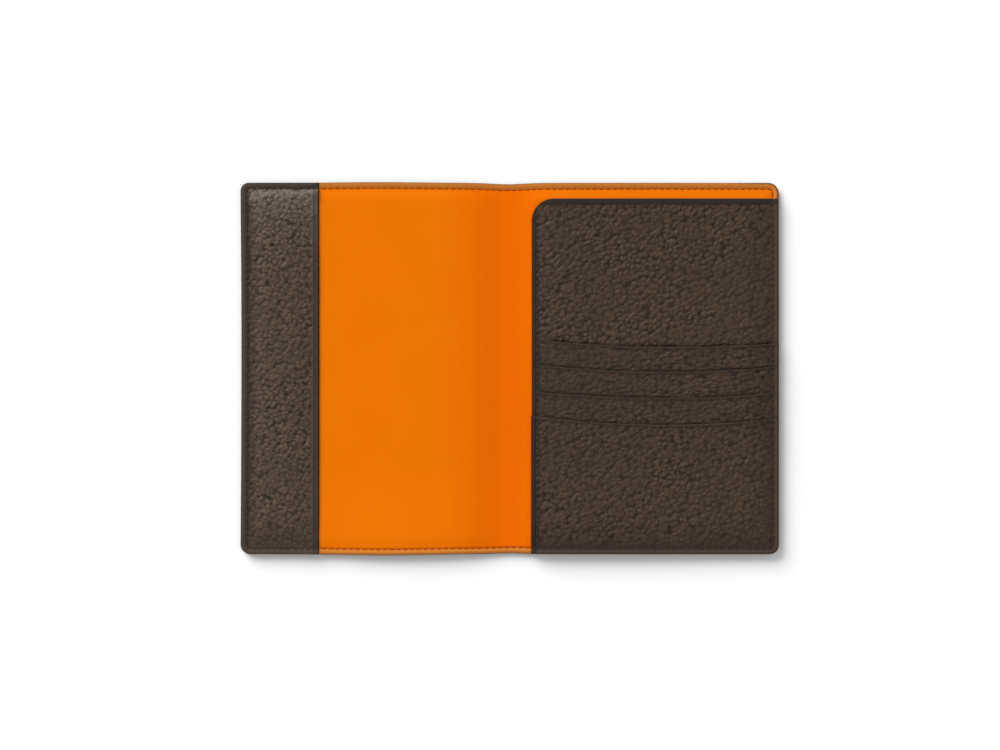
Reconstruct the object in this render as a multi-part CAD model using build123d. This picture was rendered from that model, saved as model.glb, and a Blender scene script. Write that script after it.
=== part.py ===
from build123d import *
import os
from math import hypot

# A leather passport holder, lying open and flat. All lengths are in millimetres.
# +X runs from the front cover (flap) to the back cover (card pockets), +Y up the page, +Z out of the lining.
# The origin is the middle of the open holder, on its underside.

# The open holder: two covers for an 88 x 125 mm passport, and the spine between them.
OPEN_WIDTH = 202.0
HEIGHT = 140.0
CORNER_RADIUS = 4.0
SPINE_WIDTH = 12.0

# Layers, from the outside in.
OUTER = 1.0
STIFFENER = 0.6
LINING = 0.6
SLEEVE_GAP = 0.8
BACKING = 0.3
FLAP = 0.9
PANEL = 0.8
LIP = 0.6
TONGUE = 0.15

# Pieces of the inside.
FLAP_WIDTH = 28.5
PANEL_LEFT = 8.3
PANEL_TOP = 64.0
PANEL_CORNER_RADIUS = 7.2
RIM = 2.6
LINING_RIM = 3.6
STIFFENER_RIM = 4.8
STIFFENER_TO_FOLD = 2.2
LINING_TO_FOLD = 0.9
SLEEVE_CORNER_RADIUS = 3.2
LINING_CORNER_RADIUS = 1.6

# Card slots: curved mouths, lowest at their middle, and strips that lean over each other like shingles.
LIP_COUNT = 3
FIRST_MOUTH = 8.3
MOUTH_PITCH = 9.8
MOUTH_SAG = 2.6
LIP_HEIGHT = 14.0
LIP_RAKE = 0.07
FRONT_RAKE = 0.085
FRONT_RAKE_START = -33.5
SLOT_DEPTH = 47.0
TONGUE_LEFT = 11.6
TONGUE_RIGHT = 96.4
TONGUE_UNDERLAP = 3.0
MOUTH_TRIM = 1.0

# Stitching.
SEAM_INSET = 2.0
PANEL_SEAM_INSET = 2.3
THREAD = 0.5
GROOVE_DEPTH = 0.25
THREAD_PROUD = 0.1
THREAD_END = 0.5
OUTSIDE_GROOVE = 0.3
OUTSIDE_THREAD_LOW = 0.05
PANEL_SEAM_TOP = 59.0
PANEL_SEAM_BOTTOM = -65.0
STITCH_GAP = 0.2

# Heights that follow from the layers. The covers fold about two lines along Y, at x = -FOLD_X and
# x = FOLD_X and at the height RIM_TOP, so that the layers below those lines open as the holder closes.
HALF_WIDTH = OPEN_WIDTH / 2
HALF_HEIGHT = HEIGHT / 2
FOLD_X = SPINE_WIDTH / 2
RIM_TOP = OUTER + LINING
LINING_TOP = OUTER + STIFFENER + LINING
SLEEVE_TOP = LINING_TOP + SLEEVE_GAP
BACKED_RIM = RIM_TOP + BACKING
BACKED_TOP = SLEEVE_TOP + BACKING
FLAP_EDGE = -HALF_WIDTH + FLAP_WIDTH
PANEL_RIM_TOP = BACKED_RIM + PANEL
PANEL_Z = BACKED_TOP + PANEL
FRONT_Z = PANEL_Z + LIP_COUNT * TONGUE
FAR = 2 * OPEN_WIDTH
SLOPE_ANGLE = 45.0


def span(x0, x1, y0=-HEIGHT, y1=HEIGHT):
    """A plan rectangle between two x and two y values."""
    return Pos((x0 + x1) / 2, (y0 + y1) / 2) * Rectangle(x1 - x0, y1 - y0)


def outline(inset=0.0):
    """The open holder's plan outline, moved in from its edge."""
    radius = max(CORNER_RADIUS - inset, THREAD)
    return RectangleRounded(OPEN_WIDTH - 2 * inset, HEIGHT - 2 * inset, radius)


def prism(plan, low, high):
    """A plan face stood up between two heights."""
    return extrude(Pos(0, 0, low) * plan, high - low)


def rounded_span(x0, x1, y0, y1, radius):
    """A plan rectangle with rounded corners."""
    return Pos((x0 + x1) / 2, (y0 + y1) / 2) * RectangleRounded(x1 - x0, y1 - y0, radius)


def mound(foot, low, high):
    """All the space below a level that rises from low to high inside the foot, up a 45 degree slope."""
    ground = prism(span(-FAR, FAR, -FAR, FAR), 0, low)
    hill = extrude(Pos(0, 0, low) * foot, high - low, taper=SLOPE_ANGLE)
    return ground + hill


def pressed_sheet(plan, foot, low, high, thickness):
    """A sheet that lies at low along its sewn rim and at high inside the foot."""
    below = mound(foot, low, high)
    return (Pos(0, 0, thickness) * below - below) & prism(plan, 0, FAR)


def seam_line(plan):
    """The plan of the perimeter stitching inside a plan region."""
    return (outline(SEAM_INSET - THREAD / 2) - outline(SEAM_INSET + THREAD / 2)) & plan


def sewn(sheet, line, top):
    """A sheet with the groove of a stitch line pressed into its top, and the thread that lies in it."""
    groove = prism(line, top - GROOVE_DEPTH, FAR)
    thread = prism(line, top - GROOVE_DEPTH, top + THREAD_PROUD)
    return sheet - groove, thread


# Plans of the three stretches of the holder, from fold line to fold line.
FRONT_SIDE = span(-FAR, -FOLD_X)
SPINE_SIDE = span(-FOLD_X, FOLD_X)
BACK_SIDE = span(FOLD_X, FAR)


def outer_leather(side):
    """One stretch of the outer leather, with its outside thread in a groove of the underside."""
    skin = prism(outline() & side, 0, OUTER)
    line = seam_line(side)
    groove = prism(line, 0, OUTSIDE_GROOVE)
    thread = prism(line, OUTSIDE_THREAD_LOW, OUTSIDE_GROOVE)
    return skin - groove, thread


def cover_board(side):
    """The stiffener of one cover, which lies between the outer leather and the lining."""
    inner = FOLD_X + STIFFENER_TO_FOLD
    plan = outline(STIFFENER_RIM) & (span(-FAR, -inner) + span(inner, FAR)) & side
    return prism(plan, OUTER, OUTER + STIFFENER)


def cover_lining(sign, bare):
    """The lining of one cover, raised over its board, and its thread along the bare part of the rim."""
    near = FOLD_X + LINING_TO_FOLD
    far = HALF_WIDTH - LINING_RIM
    half = HALF_HEIGHT - LINING_RIM
    foot = rounded_span(*sorted((sign * near, sign * far)), -half, half, LINING_CORNER_RADIUS)
    side = BACK_SIDE if sign > 0 else FRONT_SIDE
    filled = mound(foot, RIM_TOP, LINING_TOP) & prism(outline() & side, OUTER, FAR)
    return sewn(filled - cover_board(side), seam_line(bare), RIM_TOP)


def spine_lining():
    """The lining between the fold lines. Its thread stops short of them, clear of the covers' threads."""
    sheet = prism(outline() & SPINE_SIDE, OUTER, RIM_TOP)
    line = seam_line(span(-FOLD_X + THREAD_END, FOLD_X - THREAD_END))
    return sewn(sheet, line, RIM_TOP)


# The flap is sewn on three sides, and free along its inner edge.
FLAP_PLAN = outline() & span(-FAR, FLAP_EDGE)
FLAP_FOOT = rounded_span(
    -HALF_WIDTH + RIM, 0, -HALF_HEIGHT + RIM, HALF_HEIGHT - RIM, SLEEVE_CORNER_RADIUS
)


def flap():
    """The leather flap of the front cover and its thread."""
    sheet = pressed_sheet(FLAP_PLAN, FLAP_FOOT, BACKED_RIM, BACKED_TOP, FLAP)
    line = seam_line(span(-FAR, FLAP_EDGE - THREAD_END))
    return sewn(sheet, line, BACKED_RIM + FLAP)


# The pocket panel is sewn along its right side and its bottom, and free along its left and its top.
PANEL_PLAN = outline() & Pos(PANEL_LEFT + FAR / 2, PANEL_TOP - FAR / 2) * RectangleRounded(
    FAR, FAR, PANEL_CORNER_RADIUS
)
PANEL_FOOT = rounded_span(
    -HALF_WIDTH, HALF_WIDTH - RIM, -HALF_HEIGHT + RIM, HEIGHT, SLEEVE_CORNER_RADIUS
)
SIDE_SEAM_X = HALF_WIDTH - SEAM_INSET
PANEL_SEAM_X = PANEL_LEFT + PANEL_SEAM_INSET


def stitch_span(x, y0, y1):
    """The plan of a straight stitch line up the page."""
    return span(x - THREAD / 2, x + THREAD / 2, y0, y1)


def below_mouth(middle):
    """The plan of everything below a slot's curved mouth, whose lowest point is at the given y."""
    left = PANEL_LEFT - THREAD
    right = HALF_WIDTH + THREAD
    ends = middle + MOUTH_SAG
    curve = ThreePointArc((left, ends), ((left + right) / 2, middle), (right, ends))
    sides = Polyline((right, ends), (right, -HEIGHT), (left, -HEIGHT), (left, ends))
    return make_face(curve + sides)


def mouth_y(slot):
    """The y of the lowest point of a slot's mouth. The slots count from 1 at the top."""
    return FIRST_MOUTH - MOUTH_PITCH * (slot - 1)


def raked(profile, start, end, rake):
    """A profile in the XZ plane, carried up the page from start to end while it climbs at the rake."""
    run = end - start
    return extrude(Pos(0, start, 0) * profile, run * hypot(1, rake), dir=(0, 1, rake))


def strip_profile(low, high, thickness):
    """The section across a slot strip: flat over the pocket, and down to the sewn rim at the right."""
    foot = HALF_WIDTH - RIM
    top = foot - (high - low)
    under = [(PANEL_LEFT, high), (top, high), (foot, low), (HALF_WIDTH, low)]
    over = [(x, z + thickness) for x, z in reversed(under)]
    return Plane.XZ * make_face(Polyline(*under, *over, close=True))


def stitch_profile(x, low, high):
    """The section of a stitch line that runs up the page."""
    return Plane.XZ * Pos(x, (low + high) / 2) * Rectangle(THREAD, high - low)


def raked_strip(low, high, thickness, start, end, rake):
    """A slot strip with its two side seams: the leather and the thread."""
    leather = raked(strip_profile(low, high, thickness), start, end, rake)
    thread = []
    for x, top in ((PANEL_SEAM_X, high + thickness), (SIDE_SEAM_X, low + thickness)):
        bed = top - GROOVE_DEPTH
        leather -= raked(stitch_profile(x, bed, top + PANEL), start, end, rake)
        thread.append(raked(stitch_profile(x, bed, top + THREAD_PROUD), start, end, rake))
    return leather, thread


def pocket_panel():
    """The pocket's back panel, its side seam thread and its left edge thread."""
    sheet = pressed_sheet(PANEL_PLAN, PANEL_FOOT, BACKED_RIM, BACKED_TOP, PANEL)
    bare = prism(span(0, FAR) - below_mouth(mouth_y(1) + STITCH_GAP), 0, FAR)
    side = stitch_span(SIDE_SEAM_X, 0, PANEL_TOP - SEAM_INSET)
    edge = stitch_span(PANEL_SEAM_X, 0, PANEL_SEAM_TOP)
    sheet, side_thread = sewn(sheet, side, PANEL_RIM_TOP)
    groove = prism(edge, PANEL_Z - GROOVE_DEPTH, FAR)
    edge_thread = prism(edge, PANEL_Z - GROOVE_DEPTH, PANEL_Z + THREAD_PROUD)
    return sheet - (groove & bare), side_thread & bare, edge_thread & bare


def slot_lip(slot):
    """The leather lip of one slot, whose tail hides under the next one, and its two visible seams."""
    mouth = mouth_y(slot)
    start = mouth - LIP_HEIGHT
    end = mouth + MOUTH_SAG + MOUTH_TRIM
    high = PANEL_Z + slot * TONGUE
    leather, thread = raked_strip(PANEL_RIM_TOP, high, LIP, start, end, LIP_RAKE)
    seen = prism(below_mouth(mouth) - below_mouth(mouth_y(slot + 1) + STITCH_GAP), 0, FAR)
    edge_thread, side_thread = [run & seen for run in thread]
    return leather & prism(below_mouth(mouth), 0, FAR), side_thread, edge_thread


def slot_tongue(slot):
    """The fabric tongue that carries a lip down to the floor of its slot."""
    low = PANEL_Z + (slot - 1) * TONGUE
    top_y = mouth_y(slot) - LIP_HEIGHT + TONGUE_UNDERLAP
    plan = span(TONGUE_LEFT, TONGUE_RIGHT, mouth_y(slot) - SLOT_DEPTH, top_y)
    return prism(plan, low, low + TONGUE)


def slot_front():
    """The large front panel of the lowest slot: flat, with a raked top that clears the lip behind it."""
    mouth = mouth_y(LIP_COUNT + 1)
    flat_plan = PANEL_PLAN & span(0, FAR, -HEIGHT, FRONT_RAKE_START)
    flat = pressed_sheet(flat_plan, PANEL_FOOT, PANEL_RIM_TOP, FRONT_Z, PANEL)
    rim_top = PANEL_RIM_TOP + PANEL
    flat, bottom_thread = sewn(flat, seam_line(flat_plan & span(PANEL_LEFT + THREAD_END, FAR)), rim_top)
    edge = stitch_span(PANEL_SEAM_X, PANEL_SEAM_BOTTOM, FRONT_RAKE_START)
    flat, flat_edge_thread = sewn(flat, edge, FRONT_Z + PANEL)

    end = mouth + MOUTH_SAG + MOUTH_TRIM
    top, thread = raked_strip(PANEL_RIM_TOP, FRONT_Z, PANEL, FRONT_RAKE_START, end, FRONT_RAKE)
    below = prism(below_mouth(mouth), 0, FAR)
    edge_thread, side_thread = [run & below for run in thread]
    return flat + (top & below), bottom_thread + side_thread, flat_edge_thread + edge_thread


def build():
    """Every piece of the holder as {node name: shape}."""
    parts = {}
    for name, side in (("front", FRONT_SIDE), ("spine", SPINE_SIDE), ("back", BACK_SIDE)):
        parts[f"outer_leather_{name}"], parts[f"outside_thread_{name}"] = outer_leather(side)
    parts["stiffener_front"] = cover_board(FRONT_SIDE)
    parts["stiffener_back"] = cover_board(BACK_SIDE)
    front_bare = span(FLAP_EDGE, -FOLD_X - THREAD_END)
    back_bare = span(FOLD_X + THREAD_END, FAR, PANEL_TOP, FAR) + span(FOLD_X + THREAD_END, PANEL_LEFT)
    parts["lining_front"], parts["lining_thread_front"] = cover_lining(-1, front_bare)
    parts["lining_spine"], parts["lining_thread_spine"] = spine_lining()
    parts["lining_back"], parts["lining_thread_back"] = cover_lining(1, back_bare)

    parts["flap_leather"], parts["flap_thread"] = flap()
    parts["flap_backing"] = pressed_sheet(FLAP_PLAN, FLAP_FOOT, RIM_TOP, SLEEVE_TOP, BACKING)
    parts["pocket_backing"] = pressed_sheet(PANEL_PLAN, PANEL_FOOT, RIM_TOP, SLEEVE_TOP, BACKING)
    parts["pocket_panel"], side_thread, edge_thread = pocket_panel()
    for slot in range(1, LIP_COUNT + 1):
        parts[f"card_slot_{slot}_lip"], side_run, edge_run = slot_lip(slot)
        parts[f"card_slot_{slot}_tongue"] = slot_tongue(slot)
        side_thread += side_run
        edge_thread += edge_run
    parts["card_slot_4_front"], side_run, edge_run = slot_front()
    parts["pocket_seam_thread"] = side_thread + side_run
    parts["pocket_edge_thread"] = edge_thread + edge_run
    return parts


os.makedirs("parts", exist_ok=True)
for node, shape in build().items():
    shape.label = node
    export_step(shape, f"parts/{node}.step")
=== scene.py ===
import math

import bpy
import numpy as np
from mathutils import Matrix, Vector


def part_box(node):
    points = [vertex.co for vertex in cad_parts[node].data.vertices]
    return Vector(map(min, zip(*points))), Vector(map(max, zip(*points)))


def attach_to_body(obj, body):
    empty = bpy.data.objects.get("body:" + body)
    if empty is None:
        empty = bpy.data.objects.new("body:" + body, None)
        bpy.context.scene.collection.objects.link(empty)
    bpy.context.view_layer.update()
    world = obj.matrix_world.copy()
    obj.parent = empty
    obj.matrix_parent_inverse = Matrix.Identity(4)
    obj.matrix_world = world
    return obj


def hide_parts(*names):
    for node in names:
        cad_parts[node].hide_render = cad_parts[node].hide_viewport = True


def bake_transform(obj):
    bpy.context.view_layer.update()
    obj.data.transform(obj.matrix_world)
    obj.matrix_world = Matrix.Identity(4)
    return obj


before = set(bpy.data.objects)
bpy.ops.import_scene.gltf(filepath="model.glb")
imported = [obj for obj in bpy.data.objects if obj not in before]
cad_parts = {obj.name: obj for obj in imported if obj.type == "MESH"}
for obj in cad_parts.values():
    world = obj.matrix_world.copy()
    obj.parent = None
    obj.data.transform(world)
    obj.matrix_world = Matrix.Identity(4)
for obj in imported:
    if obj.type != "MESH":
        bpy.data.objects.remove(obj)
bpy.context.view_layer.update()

# Lengths are in millimetres until a mesh is made. +X runs from the front cover to the back cover.
MM = 0.001


def corner(node, end):
    """The lowest (0) or highest (1) corner of a CAD node, in millimetres."""
    return np.array(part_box(node)[end]) / MM


# The CAD's own sizes. Free edges reach a little past the solids, and puffed faces lie a little lower.
HALF_WIDTH, HALF_HEIGHT = corner("outer_leather_back", 1)[:2]
OUTER_TOP = corner("outer_leather_back", 1)[2]
FLAP_EDGE = corner("flap_leather", 1)[0] + 0.8
FLAP_TOP = corner("flap_leather", 1)[2] - 0.3
PANEL_LEFT = corner("pocket_panel", 0)[0] - 0.2
PANEL_TOP = corner("pocket_panel", 1)[1]
PANEL_Z = corner("pocket_panel", 1)[2] - 0.35
LIP_TAILS = [corner(f"card_slot_{n}_lip", 0)[1] for n in (1, 2, 3)]

# Corner radii, bottom left, bottom right, top right, top left: hand-cut corners are never quite alike.
COVER_RADII = (3.8, 3.5, 3.9, 3.1)
PANEL_RADIUS = 8.2

# Seams: how far inside the edges they run, the groove that they pull, and their stitches.
SEAM_INSET = 2.3
FLAP_SEAM_DRIFT = 0.20
LINING_CREASE = 2.3
PANEL_SEAM = 2.0
GROOVE_WIDTH = 0.40
GROOVE_DEPTH = 0.12
HOLE_DEPTH = 0.08
STITCH_PITCH = 2.55
STITCH_SHARE = 0.80
STITCH_SLANT = 0.16
THREAD_RADIUS = 0.22
BEAD_WIDTH = 0.42

# The layers: heights at the rim and between the seams, thicknesses, and how steeply the slot strips climb.
LINING_INSET = 0.16
LINING_RIM_TOP = 1.62
LINING_TOP = 2.25
BACKING = 0.3
SLEEVE_TOP = 2.7
FLAP_RIM_TOP = 2.85
PANEL_RIM_TOP = 2.9
LIP = 0.5
LIP_RAKE = 0.055
FRONT = 0.7
FRONT_RAKE = 0.062
FRONT_RAKE_START = -33.5
TONGUE = 0.15
BOARD = 0.6
THINNEST = 0.06

# The skin's hinge lies between these distances from the middle of the spine. The rigid boards start beyond
# them.
BEND_START, BEND_END = 0.5, 12.0
BOARD_GAP = 0.2

# Leather grain on each piece: the size of its pebbles, and how deep the creases between them are.
OUTER_GRAIN, OUTER_RELIEF = 1.95, 0.55
FLAP_GRAIN, FLAP_RELIEF = 1.62, 0.66
PANEL_GRAIN, PANEL_RELIEF = 1.82, 0.67
LIP_GRAIN, LIP_RELIEF = 1.50, 0.50
FRONT_GRAIN, FRONT_RELIEF = 1.82, 0.64

# Puffed shapes: how far in from a seam the flap and the pockets reach their full height, how far the flap's
# free edge sags, and how high the sewn rim is crowned.
FLAP_PUFF_WIDTH = 4.6
POCKET_RISE_WIDTH = 9.5
FLAP_SAG = 0.82
RIM_CROWN = 0.20

# The soft shape of the open holder: covers that lift beside the spine and at the bottom of the front cover,
# outlines that bow and dip, a flared front corner, and a slow sway of every edge.
COVER_LIFT, BOTTOM_LIFT = 0.6, 0.9
TOP_BOW, TOP_DIP = 0.25, 0.46
BOTTOM_RISE, BOTTOM_BOW = 0.28, 0.4
FRONT_FLARE, SIDE_SWAY, END_SWAY = 0.34, 0.08, 0.06
WIDENED = 1.003

# Where the curved mouths of the four card slots lie: lowest point, and how much higher each end is.
MOUTH_LOW = (8.1, -1.3, -11.1, -21.1)
MOUTH_LEFT_RISE = (3.2, 3.2, 2.6, 3.4)
MOUTH_RIGHT_RISE = (1.4, 2.2, 2.2, 2.4)


# ------------------------ numbers


def smooth(low, high, x):
    """0 below low and 1 above high, with a soft rise between them."""
    t = np.clip((x - low) / (high - low), 0.0, 1.0)
    return t * t * (3 - 2 * t)


def bump_at(x, centre, width):
    """A soft bump of height 1 at a centre."""
    return np.exp(-(((x - centre) / width) ** 2))


def hashed(ix, iy, seed):
    """Two numbers from 0 to 1 for each pair of whole numbers, the same on each run."""
    n = (ix * 374761393 + iy * 668265263 + seed * 1442695041) & 0xFFFFFFFF
    n = ((n ^ (n >> 13)) * 1274126177) & 0xFFFFFFFF
    n = n ^ (n >> 16)
    return (n & 0xFFFF) / 65536.0, (n >> 16) / 65536.0


def noise(x, y, seed):
    """Smooth noise from -1 to 1 with one swell per unit."""
    ix, iy = np.floor(x).astype(np.int64), np.floor(y).astype(np.int64)
    sx, sy = smooth(0, 1, x - ix), smooth(0, 1, y - iy)
    rows = []
    for j in (0, 1):
        a, b = (hashed(ix + i, iy + j, seed)[0] for i in (0, 1))
        rows.append(a + (b - a) * sx)
    return 2 * (rows[0] + (rows[1] - rows[0]) * sy) - 1


def pebbles(x, y, seed):
    """Domed cells: 1 on top of a pebble, 0 in the creases between pebbles."""
    ix, iy = np.floor(x).astype(np.int64), np.floor(y).astype(np.int64)
    nearest = np.full(np.shape(x), 9.0)
    second = nearest.copy()
    for j in (-1, 0, 1):
        for i in (-1, 0, 1):
            a, b = hashed(ix + i, iy + j, seed)
            away = np.hypot(ix + i + 0.08 + 0.84 * a - x, iy + j + 0.08 + 0.84 * b - y)
            second = np.where(away < nearest, nearest, np.minimum(second, away))
            nearest = np.minimum(nearest, away)
    crease = 1 - (1 - np.clip((second - nearest) / 0.4, 0.0, 1.0)) ** 2
    return np.clip(1 - (nearest / 0.8) ** 2, 0.0, 1.0) * (0.78 + 0.22 * crease)


def wander(x, y, size, seed):
    """How far the pebbles stray from their places: a wide sway and a tight one."""
    wide, tight = 2.6 * size, 0.8 * size
    return size * (0.26 * noise(x / wide, y / wide, seed) + 0.13 * noise(x / tight, y / tight, seed + 2))


def grain(x, y, size, angle, stretch, seed):
    """Pebbled leather grain from 0 to 1: pebbles of a size, drawn out along an angle."""
    u, v = x + wander(x, y, size, seed + 1), y + wander(x, y, size, seed + 2)
    c, s = math.cos(angle), math.sin(angle)
    along, across = (c * u + s * v) / (size * stretch), (c * v - s * u) / size
    coarse = pebbles(along, across, seed)
    fine = pebbles(2.3 * along + 7, 2.3 * across + 3, seed + 5)
    swell = 0.5 + 0.5 * noise(1.3 * along, 1.3 * across, seed + 9)
    ridge = 0.5 + 0.5 * noise(1.7 * along + 3, 1.7 * across + 8, seed + 6)
    patch = 1.16 + 0.30 * noise(x / 10, y / 10, seed + 7)
    relief = coarse * (0.34 + 0.12 * swell) + 0.34 * ridge + 0.20 * fine
    return 0.5 + (relief - 0.5) * patch


def corners(x0, x1, y0, y1, radii):
    """Each rounded corner of a plan, anticlockwise from bottom left: its direction, centre and radius."""
    for (sx, sy), r in zip(((-1, -1), (1, -1), (1, 1), (-1, 1)), radii):
        yield sx, sy, (x0 + r, x1 - r)[sx > 0], (y0 + r, y1 - r)[sy > 0], r


def inset(x, y, x0, x1, y0, y1, radii):
    """How far points lie inside a plan with rounded corners."""
    d = np.minimum(np.minimum(x - x0, x1 - x), np.minimum(y - y0, y1 - y))
    for sx, sy, cx, cy, r in corners(x0, x1, y0, y1, radii):
        a, b = sx * (x - cx), sy * (y - cy)
        d = np.where((a > 0) & (b > 0), r - np.hypot(a, b), d)
    return d


def cover_inset(x, y):
    return inset(x, y, -HALF_WIDTH, HALF_WIDTH, -HALF_HEIGHT, HALF_HEIGHT, COVER_RADII)


def pillow(d, start, width):
    """How a padded surface puffs up beyond its seam, from 0 to 1."""
    t = np.clip((d - start) / width, 0.0, 1.0)
    return 1 - (1 - t) ** 2.2


def slow_rise(d):
    """How a pocket rises from its seam over most of a centimetre, from 0 to 1."""
    t = np.clip((d - SEAM_INSET - 0.2) / POCKET_RISE_WIDTH, 0.0, 1.0)
    return 1 - (1 - t) ** 1.35


def rounded_edge(d, radius):
    """How far a rounded edge falls below its surface, at a distance inside the edge."""
    t = np.clip(d, 0.0, radius)
    return radius - np.sqrt(np.maximum(radius**2 - (radius - t) ** 2, 0.0))


def soften(x, y, z):
    """Moves points from the plan's straight shape to the soft shape of the open holder."""
    ax, high = np.abs(x), y / HALF_HEIGHT
    lift = COVER_LIFT * smooth(1.0, 25.0, ax) * (1 - smooth(34.0, HALF_WIDTH - 3, ax))
    lift = lift + BOTTOM_LIFT * smooth(0.55, 1.0, -high) * bump_at(x, -38, 30)
    top = TOP_BOW * bump_at(x, -48, 20) - TOP_DIP * bump_at(x, -1.0, 8.0)
    bottom = BOTTOM_RISE * bump_at(x, 0.0, 7.0) - BOTTOM_BOW * bump_at(x, -47, 20)
    edge = np.where(high > 0, top, bottom) * np.abs(high)
    flare = FRONT_FLARE * high**2 * np.clip(-x / HALF_WIDTH, 0, 1) ** 3
    side_sway = SIDE_SWAY * noise(y / 29, 1.7 + 0 * x, 92) * smooth(40, 90, ax)
    end_sway = END_SWAY * noise(x / 31, 3.3 + 0 * y, 91) * high
    return WIDENED * x - flare + side_sway, y + edge + end_sway, z + lift


# ------------------------ meshes


def new_piece(name, points, faces, material, values=None, sharp=65):
    """A smooth-shaded mesh piece from points in mm. It keeps its flat points and values for the shaders."""
    points = np.asarray(points, float)
    mesh = bpy.data.meshes.new(name)
    soft = np.stack(soften(*points.T), axis=1) * MM
    mesh.from_pydata(soft.tolist(), [], faces)
    rest = mesh.attributes.new("rest", "FLOAT_VECTOR", "POINT")
    rest.data.foreach_set("vector", points.astype(np.float32).ravel())
    for key, value in (values or {}).items():
        layer = mesh.attributes.new(key, "FLOAT", "POINT")
        layer.data.foreach_set("value", np.asarray(value, np.float32).ravel())
    mesh.polygons.foreach_set("use_smooth", [True] * len(mesh.polygons))
    mesh.set_sharp_from_angle(angle=math.radians(sharp))
    mesh.materials.append(material)
    mesh.validate()
    piece = bpy.data.objects.new(name, mesh)
    bpy.context.scene.collection.objects.link(piece)
    return piece


def lines(start, end, step, near_start=(), near_end=()):
    """Grid lines from start to end: even ones, and close ones at the given distances inside each end."""
    fine = [start + d for d in near_start] + [end - d for d in near_end]
    low = max(near_start, default=0.0)
    high = max(near_end, default=0.0)
    count = max(2, round((end - start - low - high) / step))
    even = np.linspace(start + low, end - high, count + 1)
    every = np.unique(np.round(np.concatenate([[start, end], fine, even]), 5))
    return every[np.concatenate([[True], np.diff(every) > 0.01])]


# Distances inside a sewn and a free edge where grid lines lie close, and where a plain back keeps its rows.
SEWN = (0.0, 0.3, 0.6, 0.9, 1.2, 1.45, 1.65, 1.85, 2.0, 2.15, 2.35, 2.6, 2.9, 3.25, 3.6, 4.0, 4.4)
FREE = (0.0, 0.02, 0.08, 0.17, 0.3, 0.45, 0.7, 1.0, 1.35, 1.7, 2.0, 2.2, 2.4, 2.6, 2.9, 3.3)
SEWN_ROWS = (2.5, 3.3, 4.4, 6.0)
FINE_STEP = 0.30
EDGE_GAP = 0.12


def plan_grid(xs, ys, radii):
    """Grid points of a plan from its grid lines, with its corners drawn in to their radii."""
    x, y = np.meshgrid(xs, ys)
    for sx, sy, cx, cy, _ in corners(xs[0], xs[-1], ys[0], ys[-1], radii):
        a, b = sx * (x - cx), sy * (y - cy)
        inside = (a > 1e-9) & (b > 1e-9)
        pull = np.where(inside, np.maximum(a, b) / np.maximum(np.hypot(a, b), 1e-9), 1.0)
        x, y = np.where(inside, cx + sx * a * pull, x), np.where(inside, cy + sy * b * pull, y)
    return x, y


def grid_faces(index, flip=False):
    """Quads over a grid of point numbers."""
    quads = np.stack([index[:-1, :-1], index[:-1, 1:], index[1:, 1:], index[1:, :-1]], axis=-1)
    quads = quads.reshape(-1, 4)
    return (quads[:, ::-1] if flip else quads).tolist()


def back_rows(ys, wanted):
    """The rows of a grid that the plain back of a sheet keeps."""
    rows = {0, len(ys) - 1} | {int(np.abs(ys - w).argmin()) for w in wanted}
    return sorted(rows)


def leather_sheet(name, grid, face_z, back_z, material, values=(), rows=(), down=False):
    """A closed sheet: a detailed face, a back on all rows or on some of them, and walls."""
    x, y = grid
    height, width = x.shape
    rows = rows or range(height)
    values = dict(values)
    front = np.arange(height * width).reshape(height, width)
    ring = np.concatenate([front[0, :-1], front[:-1, -1], front[-1, :0:-1], front[:0:-1, 0]])
    loops, back_number = [], {}

    def back(j, i):
        return back_number.setdefault(j * width + i, height * width + len(back_number))

    for low, high in zip(rows[:-1], rows[1:]):
        for i in range(width - 1):
            loop = [back(low, i), back(high, i)]
            if i == 0:
                loop = [back(j, 0) for j in range(low, high + 1)]
            right = [back(high, i + 1), back(low, i + 1)]
            if i == width - 2:
                right = [back(j, width - 1) for j in range(high, low - 1, -1)]
            loops.append(loop + right)
    ring_back = [back(*divmod(int(k), width)) for k in ring]
    for a, b, c, d in zip(ring, np.roll(ring, -1), np.roll(ring_back, -1), ring_back):
        loops.append([int(a), int(d), int(c), int(b)])
    faces = grid_faces(front, flip=down) + [loop[::-1] if down else loop for loop in loops]
    picked = list(back_number)
    face_points, back_points = (np.stack([x, y, z], -1).reshape(-1, 3) for z in (face_z, back_z))
    points = np.concatenate([face_points, back_points[picked]])
    values = {k: np.concatenate([np.ravel(v), np.ravel(v)[picked]]) for k, v in values.items()}
    return new_piece(name, points, faces, material, values)


# ------------------------ materials


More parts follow.
